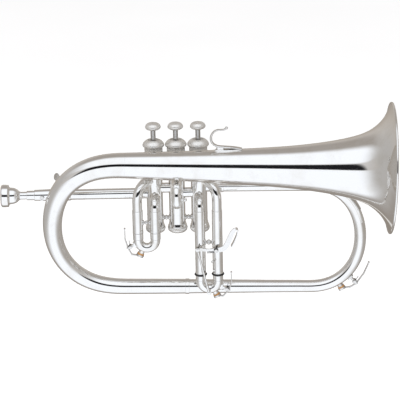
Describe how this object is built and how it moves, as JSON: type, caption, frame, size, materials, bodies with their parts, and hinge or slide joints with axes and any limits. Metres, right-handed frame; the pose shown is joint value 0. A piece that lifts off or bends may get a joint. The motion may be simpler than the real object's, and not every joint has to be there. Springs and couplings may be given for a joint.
{
  "type": "flugelhorn",
  "caption": "Silver-plated flugelhorn with piston valves, pull slides, a third-slide trigger, water keys, a finger hook and a removable mouthpiece.",
  "frame": {"origin": "on the axis of the second valve, mid-height of its casing (level with the slide port tubes)", "axes": "+X towards the bell mouth, +Z along the valve axes towards the finger buttons, -Y towards the player's right-hand side, where the bell tube runs"},
  "size_m": [0.4566, 0.1524, 0.2365],
  "materials": {
    "silver_plated_brass": "polished silver plate on brass, mirror-like with very fine handling wear",
    "nickel_alloy_piston": "honed nickel-copper alloy pistons with polished stems",
    "spring_steel": "drawn spring wire",
    "cork": "natural cork, matt and speckled",
    "black_rubber": "matt black rubber ring"
  },
  "bodies": {
    "horn": {"bell": "silver_plated_brass", "bell_bow": "silver_plated_brass", "main_bow": "silver_plated_brass", "branch_ferrule": "silver_plated_brass", "exit_tube": "silver_plated_brass", "exit_ferrule": "silver_plated_brass", "bow_guard": "silver_plated_brass", "leadpipe": "silver_plated_brass", "receiver": "silver_plated_brass", "receiver_guide_screws": "silver_plated_brass", "valve_casing_1": "silver_plated_brass", "valve_casing_2": "silver_plated_brass", "valve_casing_3": "silver_plated_brass", "top_cap_1": "silver_plated_brass", "top_cap_2": "silver_plated_brass", "top_cap_3": "silver_plated_brass", "bottom_cap_1": "silver_plated_brass", "bottom_cap_2": "silver_plated_brass", "bottom_cap_3": "silver_plated_brass", "valve_knuckles": "silver_plated_brass", "casing_braces": "silver_plated_brass", "slide1_outer_a": "silver_plated_brass", "slide1_outer_b": "silver_plated_brass", "slide3_outer_a": "silver_plated_brass", "slide3_outer_b": "silver_plated_brass", "slide1_brace": "silver_plated_brass", "slide3_brace": "silver_plated_brass", "slide2_outer_legs": "silver_plated_brass", "bow_key_mount": "silver_plated_brass", "bow_key_spring": "spring_steel", "trigger_post": "silver_plated_brass", "trigger_spring": "spring_steel", "finger_hook": "silver_plated_brass", "bell_braces": "silver_plated_brass", "valve_spring_1": "spring_steel", "valve_spring_2": "spring_steel", "valve_spring_3": "spring_steel"},
    "valve_1": {"piston_1": "nickel_alloy_piston", "finger_button_1": "silver_plated_brass"},
    "valve_2": {"piston_2": "nickel_alloy_piston", "finger_button_2": "silver_plated_brass"},
    "valve_3": {"piston_3": "nickel_alloy_piston", "finger_button_3": "silver_plated_brass"},
    "slide_1": {"slide1_crook": "silver_plated_brass", "key1_spring": "spring_steel"},
    "slide_2": {"slide2_crook": "silver_plated_brass"},
    "slide_3": {"slide3_crook": "silver_plated_brass", "slide3_bumpers": "black_rubber", "key3_spring": "spring_steel"},
    "key_1": {"key1_lever": "silver_plated_brass", "key1_cork": "cork"},
    "key_3": {"key3_lever": "silver_plated_brass", "key3_cork": "cork"},
    "bow_key": {"bow_key_lever": "silver_plated_brass", "bow_key_cork": "cork"},
    "trigger": {"trigger_lever": "silver_plated_brass"},
    "trigger_rod": {"trigger_rod": "silver_plated_brass"},
    "tuning_shank": {"tuning_shank": "silver_plated_brass"},
    "mouthpiece": {"mouthpiece": "silver_plated_brass"},
    "thumb_screw": {"thumb_screw": "silver_plated_brass"}
  },
  "joints": [
    {"name": "valve_1_press", "type": "slide", "parent": "horn", "child": "valve_1", "axis": [0, 0, -1], "range_m": [0, 0.0115], "stiffness_N_per_m": 220, "springref_m": -0.01, "deforming": ["valve_spring_1"]},
    {"name": "valve_2_press", "type": "slide", "parent": "horn", "child": "valve_2", "axis": [0, 0, -1], "range_m": [0, 0.0115], "stiffness_N_per_m": 220, "springref_m": -0.01, "deforming": ["valve_spring_2"]},
    {"name": "valve_3_press", "type": "slide", "parent": "horn", "child": "valve_3", "axis": [0, 0, -1], "range_m": [0, 0.0115], "stiffness_N_per_m": 220, "springref_m": -0.01, "deforming": ["valve_spring_3"]},
    {"name": "slide_1_pull", "type": "slide", "parent": "horn", "child": "slide_1", "axis": [0, 0, -1], "range_m": [0, 0.018]},
    {"name": "slide_2_pull", "type": "slide", "parent": "horn", "child": "slide_2", "axis": [0, -1, 0], "range_m": [0, 0.009]},
    {"name": "slide_3_trigger", "type": "slide", "parent": "horn", "child": "slide_3", "axis": [0, 0, -1], "range_m": [0, 0.012], "stiffness_N_per_m": 110, "springref_m": -0.006},
    {"name": "key_1_open", "type": "hinge", "parent": "slide_1", "child": "key_1", "pos_m": [-0.0553, -0.0215, -0.0484], "axis": [0, 1, 0], "range_deg": [0, 18], "stiffness_Nm_per_rad": 0.012, "springref_deg": -20.05},
    {"name": "key_3_open", "type": "hinge", "parent": "slide_3", "child": "key_3", "pos_m": [0.0558, -0.0215, -0.103], "axis": [0, -1, 0], "range_deg": [0, 18], "stiffness_Nm_per_rad": 0.012, "springref_deg": -20.05},
    {"name": "bow_key_open", "type": "hinge", "parent": "horn", "child": "bow_key", "pos_m": [0.2078, -0.0053, -0.1029], "axis": [0, -1, 0], "range_deg": [0, 14], "stiffness_Nm_per_rad": 0.012, "springref_deg": -20.05},
    {"name": "trigger_lever_turn", "type": "hinge", "parent": "horn", "child": "trigger", "pos_m": [0.0443, -0.033, -0.0512], "axis": [0, -1, 0], "range_deg": [-1, 33]},
    {"name": "trigger_rod_swing", "type": "hinge", "parent": "slide_3", "child": "trigger_rod", "pos_m": [0.0353, -0.0351, -0.1036], "axis": [0, 1, 0], "range_deg": [-1, 4]},
    {"name": "tuning_shank_slide", "type": "slide", "parent": "horn", "child": "tuning_shank", "axis": [-1, 0, 0], "range_m": [0, 0.016]},
    {"name": "mouthpiece_pull", "type": "slide", "parent": "tuning_shank", "child": "mouthpiece", "axis": [-1, 0, 0], "range_m": [0, 0.022]},
    {"name": "thumb_screw_turn", "type": "hinge", "parent": "horn", "child": "thumb_screw", "pos_m": [-0.1398, 0, 0.024], "axis": [0, 0, 1], "range_deg": [-180, 180]}
  ],
  "couplings": [
    {"joint": "trigger_lever_turn", "follows": "slide_3_trigger", "rad_per_m": 46},
    {"joint": "trigger_rod_swing", "follows": "slide_3_trigger", "rad_per_m": 2.86}
  ]
}
